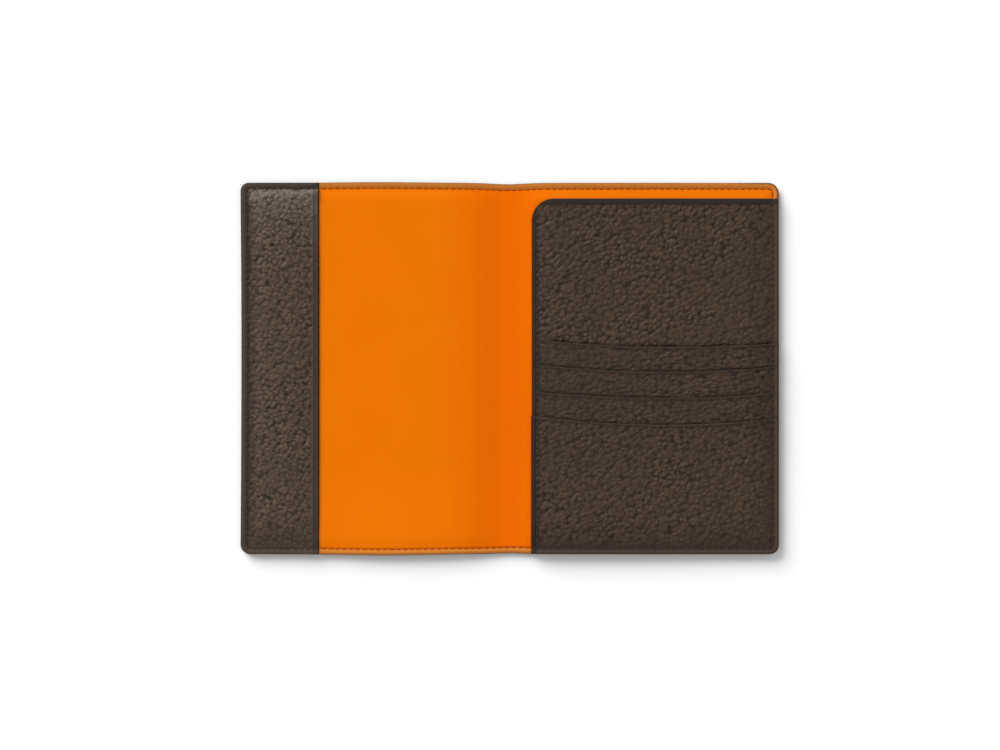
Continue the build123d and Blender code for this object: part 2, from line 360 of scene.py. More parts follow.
class Recipe:
    """A material's node tree, built from the attributes and textures that its colour and relief need."""

    def __init__(self, name, specular=0.35, sheen=0.0, tint=(1.0, 1.0, 1.0)):
        self.material = bpy.data.materials.new(name)
        self.material.use_nodes = True
        self.tree = self.material.node_tree
        self.shader = self.tree.nodes["Principled BSDF"]
        self.shader.inputs["Specular IOR Level"].default_value = specular
        self.shader.inputs["Sheen Weight"].default_value = sheen
        self.shader.inputs["Specular Tint"].default_value = (*tint, 1.0)
        self.rest = self.attribute("rest", "Vector")

    def node(self, kind, inputs=None, **settings):
        made = self.tree.nodes.new(kind)
        for key, value in settings.items():
            setattr(made, key, value)
        for key, value in (inputs or {}).items():
            if isinstance(value, bpy.types.NodeSocket):
                self.tree.links.new(value, made.inputs[key])
            else:
                made.inputs[key].default_value = value
        return made

    def attribute(self, name, output="Fac"):
        return self.node("ShaderNodeAttribute", attribute_name=name).outputs[output]

    def noise(self, per_mm, detail=3.0, stretch=None):
        vector = self.rest
        if stretch:
            scaled = self.node("ShaderNodeVectorMath", {0: vector, 1: stretch}, operation="MULTIPLY")
            vector = scaled.outputs[0]
        inputs = {"Vector": vector, "Scale": per_mm, "Detail": detail}
        return self.node("ShaderNodeTexNoise", inputs).outputs[0]

    def cells(self, per_mm):
        inputs = {"Vector": self.rest, "Scale": per_mm}
        return self.node("ShaderNodeTexVoronoi", inputs, feature="F1").outputs["Distance"]

    def ranged(self, value, low, high, to_low=0.0, to_high=1.0):
        inputs = {0: value, 1: low, 2: high, 3: to_low, 4: to_high}
        return self.node("ShaderNodeMapRange", inputs, clamp=True).outputs[0]

    def sum(self, a, b, operation="ADD"):
        return self.node("ShaderNodeMath", {0: a, 1: b}, operation=operation).outputs[0]

    def mix(self, share, a, b):
        a, b = ((*colour, 1.0) if isinstance(colour, tuple) else colour for colour in (a, b))
        return self.node("ShaderNodeMix", {0: share, 6: a, 7: b}, data_type="RGBA").outputs[2]

    def finish(self, colour, roughness, height, strength, depth):
        """Links the colour, the roughness and a relief of the given depth in mm to the shader."""
        inputs = {"Height": height, "Strength": strength, "Distance": depth * MM}
        relief = self.node("ShaderNodeBump", inputs)
        self.tree.links.new(colour, self.shader.inputs["Base Color"])
        self.tree.links.new(roughness, self.shader.inputs["Roughness"])
        self.tree.links.new(relief.outputs[0], self.shader.inputs["Normal"])
        return self.material


# Colours, in linear light. A brown leather has the colours of its creases, darkened as painted shade, of
# its pebbles' tops, lightened as painted highlight, and of its cooler patches.
FLAP_BROWNS = (0.0085, 0.0058, 0.0043), (0.0810, 0.0525, 0.0362), (0.0470, 0.0332, 0.0245)
PANEL_BROWNS = (0.0075, 0.0056, 0.0042), (0.0600, 0.0367, 0.0233), (0.0340, 0.0222, 0.0150)
# The light brown of a painted sheen below the flap's top seam and of a painted highlight on the crowned
# rims.
PAINTED_SHEEN_BROWN = (0.180, 0.146, 0.121)
# EDGE_PAINT also serves as painted shade in the seam grooves and in the gaps behind the slot mouths.
EDGE_PAINT = (0.0155, 0.0112, 0.0096)
BEAD_PAINT = (0.030, 0.0215, 0.0175)
WORN_BEAD = (0.058, 0.044, 0.036)
ORANGE_DEEP = (0.622, 0.130, 0.0010)
ORANGE_LIGHT = (0.634, 0.136, 0.0013)
ORANGE_FLECK = (0.605, 0.121, 0.0007)
# Painted shade for the valley along the spine.
ORANGE_SPINE_SHADE = (0.636, 0.109, 0.0007)
# The tan of the lining's sloping rim: brown edge paint worked into it, and a painted sheen.
RIM_TAN_AND_SHEEN = (0.3971, 0.1436, 0.027)
ORANGE_CREASE = (0.338, 0.0592, 0.0017)
LINING_STAIN = (0.0296, 0.0152, 0.0084)
BACKING_BROWNS = (0.030, 0.021, 0.016), (0.060, 0.045, 0.035)
CLOTH_BROWNS = (0.012, 0.010, 0.009), (0.04, 0.033, 0.028)
DARK_THREADS = (0.019, 0.018, 0.019), (0.060, 0.054, 0.055)
ORANGE_THREADS = (0.26, 0.045, 0.0012), (0.48, 0.095, 0.003)
BOARD_BROWNS = (0.22, 0.16, 0.10), (0.42, 0.33, 0.23)


def brown_leather(name, crease, top, cool):
    """Pebbled brown leather: its grain tone with painted shade in the creases and painted highlight on the
    tops, a painted sheen, fine pores, and dark painted edges.
    """
    r = Recipe(name, specular=0.12)
    # The grain's height sets the colour: the leather's own tone, with creases darkened as painted shade and
    # tops lightened as painted highlight.
    grain_height = r.ranged(r.attribute("grain"), 0.15, 0.85)
    paint = r.attribute("paint")
    colour = r.mix(grain_height, crease, top)
    colour = r.mix(r.ranged(r.noise(0.07), 0.35, 0.7, 0.0, 0.5), colour, cool)
    colour = r.mix(r.ranged(r.noise(1.1, 4.0), 0.3, 0.7, 0.0, 0.2), colour, top)
    # Painted sheen and highlight: lighter where the puffed flap and the crowned rims catch the key light.
    colour = r.mix(r.ranged(r.attribute("painted_sheen"), 0.0, 1.0, 0.0, 0.75), colour, PAINTED_SHEEN_BROWN)
    # The paint value mixes in the edge paint, and also painted shade in the seam grooves and the slot gaps.
    colour = r.mix(paint, colour, EDGE_PAINT)
    rough = r.ranged(grain_height, 0.0, 1.0, 0.66, 0.48)
    rough = r.sum(rough, r.ranged(r.noise(0.4), 0.3, 0.7, -0.05, 0.05))
    rough = r.sum(rough, r.ranged(paint, 0.0, 1.0, 0.0, 0.06))
    pores = r.sum(r.ranged(r.cells(2.4), 0.0, 0.5), r.noise(3.2, 3.0))
    return r.finish(colour, rough, pores, 0.5, 0.05)


def orange_leather(name):
    """Smooth orange lining: very fine grain, a tan rim with a painted sheen, and painted shade that deepens
    the tone along the spine.
    """
    r = Recipe(name, specular=0.07, tint=(1.0, 0.35, 0.02))
    rim, paint, spine_shade = r.attribute("rim"), r.attribute("paint"), r.attribute("spine_shade")
    colour = r.mix(r.ranged(r.noise(0.05, 4.0), 0.3, 0.7), ORANGE_DEEP, ORANGE_LIGHT)
    colour = r.mix(r.ranged(r.noise(2.2, 4.0), 0.35, 0.7, 0.0, 0.2), colour, ORANGE_FLECK)
    # Painted shade: the orange deepens towards the valley of the spine.
    colour = r.mix(spine_shade, colour, ORANGE_SPINE_SHADE)
    # The rim: brown edge paint worked into the orange, with a painted sheen on its slope.
    colour = r.mix(r.ranged(rim, 0.0, 1.0, 0.0, 0.85), colour, RIM_TAN_AND_SHEEN)
    colour = r.mix(r.attribute("crease"), colour, ORANGE_CREASE)
    colour = r.mix(paint, colour, LINING_STAIN)
    rough = r.ranged(r.noise(0.8), 0.3, 0.7, 0.6, 0.7)
    relief = r.sum(r.cells(3.0), r.noise(1.2, 5.0))
    return r.finish(colour, rough, relief, 0.35, 0.03)


def plain_leather(name, dark, light):
    """Thin skived backing leather, matte and fibrous."""
    r = Recipe(name, specular=0.25)
    colour = r.mix(r.noise(0.9, 5.0), dark, light)
    rough = r.ranged(r.noise(0.5), 0.3, 0.7, 0.7, 0.82)
    return r.finish(colour, rough, r.noise(2.5, 5.0), 0.4, 0.05)


def woven_fabric(name, dark, light):
    """Plain woven lining cloth, with threads both ways."""
    r = Recipe(name, specular=0.2, sheen=0.2)
    waves = []
    for direction in ("X", "Y"):
        inputs = {"Vector": r.rest, "Scale": 1.1, "Distortion": 0.4, "Detail": 1.0}
        waves.append(r.node("ShaderNodeTexWave", inputs, bands_direction=direction).outputs["Fac"])
    weave = r.sum(waves[0], waves[1], "MULTIPLY")
    colour = r.mix(weave, dark, light)
    rough = r.ranged(weave, 0.0, 1.0, 0.9, 0.75)
    return r.finish(colour, rough, weave, 0.5, 0.08)


def sewing_thread(name, dark, light):
    """Waxed twisted thread."""
    r = Recipe(name, specular=0.12)
    inputs = {"Vector": r.rest, "Scale": 1.6, "Distortion": 0.0}
    twist = r.node("ShaderNodeTexWave", inputs, bands_direction="DIAGONAL").outputs["Fac"]
    colour = r.mix(r.sum(twist, r.noise(1.5), "MULTIPLY"), dark, light)
    rough = r.ranged(r.noise(2.0), 0.3, 0.7, 0.65, 0.8)
    return r.finish(colour, rough, twist, 0.6, 0.06)


def painted_edge(name):
    """The dark paint of the trimmed edges, rubbed a little lighter here and there."""
    r = Recipe(name, specular=0.25)
    wear = r.ranged(r.noise(0.35, 4.0), 0.45, 0.75)
    colour = r.mix(wear, BEAD_PAINT, WORN_BEAD)
    rough = r.ranged(r.noise(0.9), 0.3, 0.7, 0.36, 0.5)
    return r.finish(colour, rough, r.noise(1.6, 4.0), 0.3, 0.05)


def fibre_board(name, dark, light):
    """Pressed leather fibre board."""
    r = Recipe(name, specular=0.2)
    fibres = r.noise(0.8, 6.0, (1.0, 0.25, 1.0))
    colour = r.mix(fibres, dark, light)
    return r.finish(colour, r.ranged(fibres, 0.3, 0.7, 0.85, 0.95), fibres, 0.4, 0.08)


FLAP_LEATHER = brown_leather("flap_leather_brown", *FLAP_BROWNS)
PANEL_LEATHER = brown_leather("panel_leather_brown", *PANEL_BROWNS)
LINING_LEATHER = orange_leather("orange_lining")
BACKING_LEATHER = plain_leather("backing_brown", *BACKING_BROWNS)
TONGUE_FABRIC = woven_fabric("tongue_cloth", *CLOTH_BROWNS)
DARK_THREAD = sewing_thread("dark_thread", *DARK_THREADS)
ORANGE_THREAD = sewing_thread("orange_thread", *ORANGE_THREADS)
EDGE_MATERIAL = painted_edge("edge_paint")
FIBRE_BOARD = fibre_board("fibre_board", *BOARD_BROWNS)


# ------------------------ surfaces, as heights over the plan


def stitch_holes(d, s, seam):
    """The pull of the stitches along a seam: a groove, deeper at each hole."""
    hole = np.cos(math.pi * s / STITCH_PITCH) ** 8
    return bump_at(d, seam, GROOVE_WIDTH) * (GROOVE_DEPTH + HOLE_DEPTH * hole)


def along_edge(x, y):
    """A running length along the nearest straight edge of the cover, for the stitch holes."""
    side = HALF_WIDTH - np.abs(x) < HALF_HEIGHT - np.abs(y)
    return np.where(side, y, x)


def board_rise(x):
    """How the skin rises from the spine on to the boards, from 0 to 1."""
    return smooth(2.5, 17.0, np.abs(x))


def rim_crown(d):
    """The rounded shape of the rim between an edge and its seam."""
    return RIM_CROWN * bump_at(d, 0.95, 0.7)


def outer_under(x, y):
    """The outside face of the outer leather, which lies on the floor."""
    d = cover_inset(x, y)
    groove = 2.2 * stitch_holes(d, along_edge(x, y), SEAM_INSET)
    return 0.03 + groove + 0.25 * (1 - smooth(0, 1.2, d))


def lining_top(x, y):
    """The face of the lining: its rim, the crease along its seam, and its rise on to the boards."""
    d = cover_inset(x, y)
    board = board_rise(x)
    under_flap = 1 - smooth(FLAP_EDGE - 2.5, FLAP_EDGE - 0.8, x)
    right_of_edge = smooth(PANEL_LEFT + 0.8, PANEL_LEFT + 2.5, x)
    below_edge = 1 - smooth(PANEL_TOP - 2.5, PANEL_TOP - 0.8, y)
    bare = 1 - under_flap - right_of_edge * below_edge
    rim = LINING_RIM_TOP + 0.42 * board * bare
    rise = smooth(LINING_CREASE, LINING_CREASE + 4.5, d) * board
    crease = 0.17 * bump_at(d, LINING_CREASE, 0.34)
    ripple = 0.05 * noise(x / 3.1, y / 17, 40) * bump_at(x, 0, 8) * smooth(40, 66, np.abs(y))
    return rim - 0.10 + rim_crown(d) * bare + (LINING_TOP - rim + 0.10) * rise - crease + ripple


def flap_inset(x, y):
    return inset(x, y, -HALF_WIDTH, 900, -HALF_HEIGHT, HALF_HEIGHT, (COVER_RADII[0], 0, 0, COVER_RADII[3]))


def flap_puff(x, y):
    """How the flap puffs up: quickly from its top seam, slowly from its bottom and its left."""
    ends = HALF_HEIGHT - np.abs(y) + flap_drift(x, y)
    puff = np.where(y > 0, pillow(ends, SEAM_INSET + 0.2, FLAP_PUFF_WIDTH), slow_rise(ends))
    return puff * (0.15 + 0.85 * smooth(1.5, 10.0, x + HALF_WIDTH))


def flap_sag(x, y, d):
    """How far the flap drops towards the lining near its free edge, in proportion to its puff."""
    return FLAP_SAG * (1 - smooth(0.0, 12.0, FLAP_EDGE - x)) * smooth(2.6, 9.0, d) * flap_puff(x, y)


def flap_drift(x, y):
    """How much nearer the edge the flap's seam runs along its top."""
    return FLAP_SEAM_DRIFT * smooth(-2.0, 4.0, (x + HALF_WIDTH) - (HALF_HEIGHT - y))


def flap_top(x, y):
    """The face of the flap, without its grain."""
    d, free = flap_inset(x, y) + flap_drift(x, y), FLAP_EDGE - x
    z = FLAP_RIM_TOP + (FLAP_TOP + 0.1 - FLAP_RIM_TOP) * flap_puff(x, y) - flap_sag(x, y, d)
    z = z - 0.10 + 0.85 * rim_crown(d) - 0.2 * (1 - smooth(3.0, 14.0, d))
    z = z - stitch_holes(d, along_edge(x, y), SEAM_INSET)
    z = z - 0.12 * (1 - smooth(0.0, 3.0, free)) - 0.16 * bump_at(free, 1.6, 0.34)
    return z + 0.10 * noise(x / 11, y / 16, 41) * smooth(3, 8, d)


def sleeve_top(rise):
    """The ceiling of the passport sleeves, which close towards the sewn rim."""
    return LINING_RIM_TOP + (SLEEVE_TOP - LINING_RIM_TOP) * rise


def panel_inset(x, y):
    """The distance inside the pocket's sewn sides, the right and the bottom."""
    return inset(x, y, -900, HALF_WIDTH, -HALF_HEIGHT, 900, (0, COVER_RADII[1], 0, 0))


def panel_free(x, y):
    """The distance inside the pocket's free sides, the left and the top."""
    return inset(x, y, PANEL_LEFT, 900, -900, PANEL_TOP, (0, 0, 0, PANEL_RADIUS))


def panel_top(x, y):
    """The face of the pocket panel, without its grain."""
    d = panel_inset(x, y)
    z = PANEL_RIM_TOP + (PANEL_Z - PANEL_RIM_TOP) * slow_rise(d)
    z = z - 0.08 + rim_crown(d) - stitch_holes(d, y, SEAM_INSET)
    top, left = PANEL_TOP - y, x - PANEL_LEFT
    z = z - 0.12 * (1 - smooth(0.0, 2.0, top)) - 0.14 * (1 - smooth(2.2, 3.1, top))
    z = z - stitch_holes(left, y, PANEL_SEAM) * smooth(1.0, 4.0, top)
    z = z - 0.10 * (1 - smooth(0.0, 1.6, left))
    return z + 0.07 * noise(x / 17, y / 13, 42) * smooth(3, 8, d)


def mouth(slot, x):
    """The y of a slot's curved mouth. Slots count from 0 at the top."""
    middle = (PANEL_LEFT + HALF_WIDTH) / 2 + 4.0
    left = np.clip((middle - x) / (middle - PANEL_LEFT), 0, 1)
    right = np.clip((x - middle) / (HALF_WIDTH - middle), 0, 1)
    rise = MOUTH_LEFT_RISE[slot] * left**2 + MOUTH_RIGHT_RISE[slot] * right**2
    return MOUTH_LOW[slot] + rise + 0.12 * noise(x / 9, 5.0 * slot + 0 * x, 43)


def mouth_dip(slot, x, y):
    """How far the leather behind a mouth is pressed down along it, between the side seams."""
    behind = np.exp(-((np.maximum(y - mouth(slot, x), 0.0) / 0.5) ** 2))
    return 0.3 * broken(slot, x) * behind * smooth(2.6, 5.0, inside_seams(x))


def inside_seams(x):
    """The distance inside the nearer of the pocket's left and right sides."""
    return np.minimum(x - PANEL_LEFT, HALF_WIDTH - x)


def strip_z(x, y, tail, rim, high, rim_rake, rake):
    """The underside of a slot strip, which climbs from its tail up the page and drops to the sewn rim."""
    d = HALF_WIDTH - x
    climb = np.maximum(y - tail, 0.0)
    level = slow_rise(d)
    return (rim + rim_rake * climb) * (1 - level) + (high + rake * climb) * level


def strip_top(x, y, under, thick, lip_y):
    """The face of a slot strip: its side seams, and the crease along its mouth."""
    right, left, below = HALF_WIDTH - x, x - PANEL_LEFT, lip_y - y
    thin = thick * (0.62 + 0.38 * smooth(1.5, 4.0, right))
    z = under + thin - stitch_holes(right, y, SEAM_INSET) - stitch_holes(left, y, PANEL_SEAM)
    z = z - 0.10 * (1 - smooth(0.0, 1.6, left)) - 0.10 + rim_crown(right)
    return z + lip_swell(x, below)


def lip_swell(x, below):
    """The raised edge of a lip and the crease just below it, fading in and out along the mouth."""
    crease = 0.6 + 0.4 * noise(x / 7, 2.2 + 0 * x, 47)
    return 0.04 * bump_at(below, 0.5, 0.4) - 0.07 * crease * bump_at(below, 1.1, 0.24)


# ------------------------ the pieces


def finish_edge(top, under, free, thick):
    """Keeps a sheet's face above its back, and rounds its free edge, where the two meet halfway."""
    top = np.maximum(top, under + THINNEST)
    fall = rounded_edge(free, thick / 2)
    share = np.minimum(1.0, (top - under - thick / 2) / (thick / 2))
    return top - fall, under + fall * share


def cover_columns(side, step):
    """Grid lines across one half of the holder, from the outer edge to the middle of the spine."""
    return lines(-HALF_WIDTH, 0.0, step, SEWN) if side < 0 else lines(0.0, HALF_WIDTH, step, (), SEWN)


def pocket_columns():
    """Grid lines across the pocket, from its free left edge to its sewn right."""
    return lines(PANEL_LEFT, HALF_WIDTH - EDGE_GAP, FINE_STEP, FREE, SEWN)


def cover_radii(side):
    bottom_left, bottom_right, top_right, top_left = COVER_RADII
    return (bottom_left, 0, 0, top_left) if side < 0 else (0, bottom_right, top_right, 0)


def bend(piece, side):
    """Bakes the placement of a piece of the skin into its mesh, the same on either side of the spine."""
    if side < 0:
        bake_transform(piece)
    else:
        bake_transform(piece)


def attach(piece, place, nodes):
    """Ties a piece to a body, or bakes its placement on a side of the skin, and hides the CAD nodes that it
    stands for.
    """
    if isinstance(place, str):
        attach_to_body(piece, place)
    else:
        bend(piece, place)
    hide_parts(*nodes)
    return piece


def half_name(side):
    return "front" if side < 0 else "back"


def skin_nodes(kind, side):
    """The CAD nodes that half of the skin stands for: the back half takes in the spine."""
    return [f"{kind}_{half_name(side)}"] + ([f"{kind}_spine"] if side > 0 else [])


def rim_paint_and_shade(d, groove_shade=0.04):
    """Paint on the very edge, and painted shade in the groove just inside the seam."""
    groove = groove_shade * smooth(1.9, 2.4, d) * (1 - smooth(2.6, 8.0, d))
    return np.maximum(0.25 * (1 - smooth(0.1, 0.4, d)), groove)


def rim_highlight(d):
    """A painted highlight along the crowned top of the rim, where it catches the light."""
    return 0.12 * bump_at(d, 1.0, 0.6)


def lip_paint_and_shade(slot, x, y, free):
    """A lip's cut edge, painted shade in the gap behind the next mouth, and the dark band outside the left
    seam.
    """
    wear = 0.45 + 0.40 * noise(x / 3.1, 7.7 * slot + 0 * x, 48)
    gap = gap_shade(slot + 1, x, y) if slot < 3 else 0.0
    return np.maximum(np.maximum(wear * (1 - smooth(0.16, 0.45, free)), gap), band_paint(x - PANEL_LEFT))


def broken(slot, x):
    """How open the gap behind a mouth is, from place to place."""
    return np.clip(0.56 + 0.6 * noise(x / 3.6, 3.1 * slot + 0 * x, 49), 0.0, 1.0)


def gap_shade(slot, x, y):
    """Painted shade in the gap behind a mouth."""
    return broken(slot, x) * bump_at(y, mouth(slot, x) + 0.15, 0.38)


def band_paint(d):
    """The burnished band along the pocket's free edges."""
    return 0.75 * (1 - smooth(1.8, 2.6, d))


def tone_values(pebble, calm, base, paint, painted_sheen=None):
    """What a brown piece tells its material: its grain, its paint and painted shade, and its painted sheen.
    """
    values = {"grain": pebble * calm + base * (1 - calm), "paint": paint}
    return values if painted_sheen is None else {**values, "painted_sheen": painted_sheen}


def outer_half(side):
    """Half of the outer leather, whose pebbled face is the outside of the holder."""
    name = half_name(side)
    xs, ys = cover_columns(side, 0.43), lines(-HALF_HEIGHT, HALF_HEIGHT, 0.43, SEWN, SEWN)
    x, y = plan_grid(xs, ys, cover_radii(side))
    d = cover_inset(x, y)
    pebble = grain(x, y, OUTER_GRAIN, 0.5, 1.15, 3)
    calm = 0.35 + 0.65 * smooth(2.0, 4.5, d)
    face = outer_under(x, y) + OUTER_RELIEF * (1 - pebble) * calm
    back = np.full(x.shape, OUTER_TOP)
    values = tone_values(pebble, calm, 0.35, 1 - smooth(0.15, 0.5, d))
    rows = back_rows(ys, np.linspace(-HALF_HEIGHT, HALF_HEIGHT, 9))
    piece = leather_sheet(f"outer_skin_{name}", (x, y), face, back, FLAP_LEATHER, values, rows, down=True)
    return attach(piece, side, skin_nodes("outer_leather", side))


def lining_stain(x, y, d):
    """Edge paint that ran on to the lining: all round its edge, and more of it in the top right corner."""
    edge = 0.5 * (1 - smooth(0.0, 0.4, d)) + 0.2 * bump_at(d, 0.55, 0.25)
    return edge + 0.5 * (1 - smooth(0.3, 0.6, d)) * smooth(80, 99, x) * (y > 0)


def lining_half(side):
    """Half of the orange lining: thin at the rim, raised over the board, and flat across the spine."""
    name = half_name(side)
    xs = cover_columns(side, 0.8)
    ys = lines(-HALF_HEIGHT, HALF_HEIGHT, 0.8, SEWN, SEWN)
    x, y = plan_grid(xs, ys, cover_radii(side))
    d = cover_inset(x, y)
    near_edge = smooth(0.0, 2.0, 2.0 - d)
    x = x * (1 - LINING_INSET / HALF_WIDTH * near_edge)
    y = y * (1 - LINING_INSET / HALF_HEIGHT * near_edge)
    top = lining_top(x, y)
    back = OUTER_TOP + BOARD * smooth(7.0, 10.0, np.abs(x)) * smooth(3.6, 4.8, d)
    values = {
        # Painted sheen, with edge paint worked in, on the tan rim.
        "rim": 1 - smooth(1.9, 2.2, d),
        "paint": lining_stain(x, y, d),
        "crease": bump_at(d, LINING_CREASE + 0.1, 0.34) * 0.7,
        # Painted shade along the valley of the spine.
        "spine_shade": smooth(27, 1, np.abs(x + 1.5)),
    }
    rows = back_rows(ys, [s * (HALF_HEIGHT - v) for s in (-1, 1) for v in (3.6, 4.8)] + [-40, -15, 15, 40])
    piece = leather_sheet(f"lining_skin_{name}", (x, y), top, back, LINING_LEATHER, values, rows)
    return attach(piece, side, skin_nodes("lining", side))


def stiffener(side):
    """The fibre board of one cover, with rounded edges, beyond the part of the skin that bends."""
    name = half_name(side)
    low, high = corner(f"stiffener_{name}", 0), corner(f"stiffener_{name}", 1)
    inner = BEND_END + BOARD_GAP
    low[0], high[0] = (low[0], -inner) if side < 0 else (inner, high[0])
    near = (0.0, 0.05, 0.15, 0.3)
    xs, ys = lines(low[0], high[0], 3.0, near, near), lines(low[1], high[1], 4.0, near, near)
    x, y = plan_grid(xs, ys, (1.0,) * 4)
    d = inset(x, y, low[0], high[0], low[1], high[1], (1.0,) * 4)
    fall = 0.8 * rounded_edge(d, 0.25)
    top, back = high[2] - 0.02 - fall, low[2] + 0.02 + fall
    piece = leather_sheet(f"board_{name}", (x, y), top, back, FIBRE_BOARD)
    return attach(piece, f"{name}_cover", [f"stiffener_{name}"])


def flap():
    """The pebbled flap of the front cover, puffed up inside its seam, with a creased free edge."""
    xs = lines(-HALF_WIDTH + EDGE_GAP, FLAP_EDGE, 0.26, SEWN, FREE)
    ys = lines(-HALF_HEIGHT + EDGE_GAP, HALF_HEIGHT - EDGE_GAP, 0.26, SEWN, SEWN)
    x, y = plan_grid(xs, ys, cover_radii(-1))
    d, free = flap_inset(x, y) + flap_drift(x, y), FLAP_EDGE - x
    pebble = grain(x, y, FLAP_GRAIN, -0.5, 1.2, 11)
    calm = (0.12 + 0.88 * smooth(2.2, 3.4, d)) * (0.1 + 0.9 * smooth(2.0, 3.0, free))
    calm = calm * (0.60 + 0.40 * smooth(3.0, 22.0, y + HALF_HEIGHT))
    under = sleeve_top(flap_puff(x, y)) + BACKING - flap_sag(x, y, d)
    depth = FLAP_RELIEF + 0.28 * np.exp((y - HALF_HEIGHT) / 14.0)
    top = flap_top(x, y) - depth * (1 - pebble) * calm
    top, under = finish_edge(top, under, free, 0.8)
    # Painted shade in and beside the seam groove, reaching further in along the flap's left side than near
    # its top and bottom ends.
    side_groove_shade = 0.45 * smooth(2.0, 8.0, HALF_HEIGHT - np.abs(y))
    paint = np.maximum(rim_paint_and_shade(d, side_groove_shade), 0.35 * bump_at(free, 1.6, 0.4))
    paint = np.maximum(paint, 1 - smooth(0.3, 0.6, free))
    # Painted sheen: the flap is lighter below its top seam, mostly on the pebbles' tops, where the puffed
    # leather catches the key light. The crowned rim adds a painted highlight.
    painted_sheen = 0.80 * np.exp((y - HALF_HEIGHT + SEAM_INSET) / 8.0) * smooth(2.3, 3.4, d)
    painted_sheen = painted_sheen * (0.8 + 0.2 * noise(x / 4, y / 4, 45)) * np.maximum(1.8 * pebble, 0.2)
    painted_sheen = np.clip(painted_sheen + rim_highlight(d), 0.0, 1.0)
    values = tone_values(pebble, calm, 0.4, paint, painted_sheen)
    seams = [s * (HALF_HEIGHT - v) for s in (-1, 1) for v in SEWN_ROWS]
    rows = back_rows(ys, seams + [-30, 0, 30])
    piece = leather_sheet("flap_skin", (x, y), top, under, FLAP_LEATHER, values, rows)
    return attach(piece, "front_cover", ["flap_leather"])


def flap_backing_under(x, y):
    return sleeve_top(flap_puff(x, y)) + 0.02 - flap_sag(x, y, flap_inset(x, y))


def panel_backing_under(x, y):
    return sleeve_top(slow_rise(panel_inset(x, y))) + 0.02


def backing(name, node, body, x_range, y_range, radii, underside, free):
    """A thin lining under the flap or the pocket panel, with the given underside."""
    xs = lines(*x_range, 1.5, SEWN[::2], SEWN[::2])
    ys = lines(*y_range, 1.5, SEWN[::2], SEWN[::2])
    x, y = plan_grid(xs, ys, radii)
    under = underside(x, y)
    top = under + BACKING - 0.03
    fall = 0.6 * rounded_edge(np.maximum(free(x, y), 0.0), 0.13)
    piece = leather_sheet(name, (x, y), top - fall, under + fall, BACKING_LEATHER)
    return attach(piece, body, [node])


def pocket_panel():
    """The pebbled panel that makes the pocket's upper half, free along its left and its top."""
    xs = pocket_columns()
    hidden = MOUTH_LOW[0] - 4.0
    ys = np.unique(np.concatenate([
        lines(-HALF_HEIGHT + EDGE_GAP, hidden, 1.5, SEWN), lines(hidden, PANEL_TOP, FINE_STEP, (), FREE)
    ]))
    x, y = plan_grid(xs, ys, (0, COVER_RADII[1], 0, PANEL_RADIUS))
    d, free = panel_inset(x, y), panel_free(x, y)
    top_edge, left_edge = PANEL_TOP - y, x - PANEL_LEFT
    pebble = grain(x, y, PANEL_GRAIN, 0.45, 1.15, 23)
    calm = (0.15 + 0.85 * smooth(2.0, 3.2, d)) * (0.05 + 0.95 * smooth(1.8, 3.0, top_edge))
    calm = calm * (0.2 + 0.8 * smooth(1.4, 3.4, left_edge)) * (1 - 0.25 * smooth(66, 98, x))
    under = sleeve_top(slow_rise(d)) + BACKING
    top = panel_top(x, y) - PANEL_RELIEF * (1 - pebble) * calm - mouth_dip(0, x, y)
    top, under = finish_edge(top, under, free, 0.8)
    paint = np.maximum(1 - smooth(0.3, 0.6, free), rim_paint_and_shade(d))
    paint = np.maximum(paint, np.maximum(band_paint(left_edge), 1.2 * band_paint(top_edge)))
    # Painted shade in the gap behind the top slot's mouth.
    paint = np.maximum(paint, gap_shade(0, x, y))
    values = tone_values(pebble, calm, 0.4, paint, rim_highlight(d))
    rows = back_rows(ys, [-HALF_HEIGHT + v for v in SEWN_ROWS] + [-30, 0, 30, PANEL_TOP - 7.2])
    piece = leather_sheet("panel_skin", (x, y), top, under, PANEL_LEATHER, values, rows)
    return attach(piece, "back_cover", ["pocket_panel"])


def lip_under(slot, x, y):
    """The underside of one of the three slot lips."""
    high = PANEL_Z + TONGUE * (slot + 1)
    return strip_z(x, y, LIP_TAILS[slot], PANEL_RIM_TOP + 0.02, high, 0.035, LIP_RAKE)


def front_under(x, y):
    """The underside of the lowest slot's front panel."""
    climb = FRONT_RAKE * 6.0 * np.logaddexp(0, (y - FRONT_RAKE_START) / 3.0) / 2.0
    d = panel_inset(x, y)
    level = slow_rise(d)
    rim = PANEL_RIM_TOP + 0.02 + 0.4 * climb
    return rim * (1 - level) + (PANEL_Z + 3 * TONGUE + climb) * level


def front_top(x, y):
    """The face of the lowest slot's front panel at its seams, without its rim and its grain."""
    d, left = panel_inset(x, y), x - PANEL_LEFT
    z = front_under(x, y) + FRONT * (0.75 + 0.25 * smooth(1.5, 4.0, d))
    return z - stitch_holes(d, along_edge(x, y), SEAM_INSET) - stitch_holes(left, y, PANEL_SEAM)


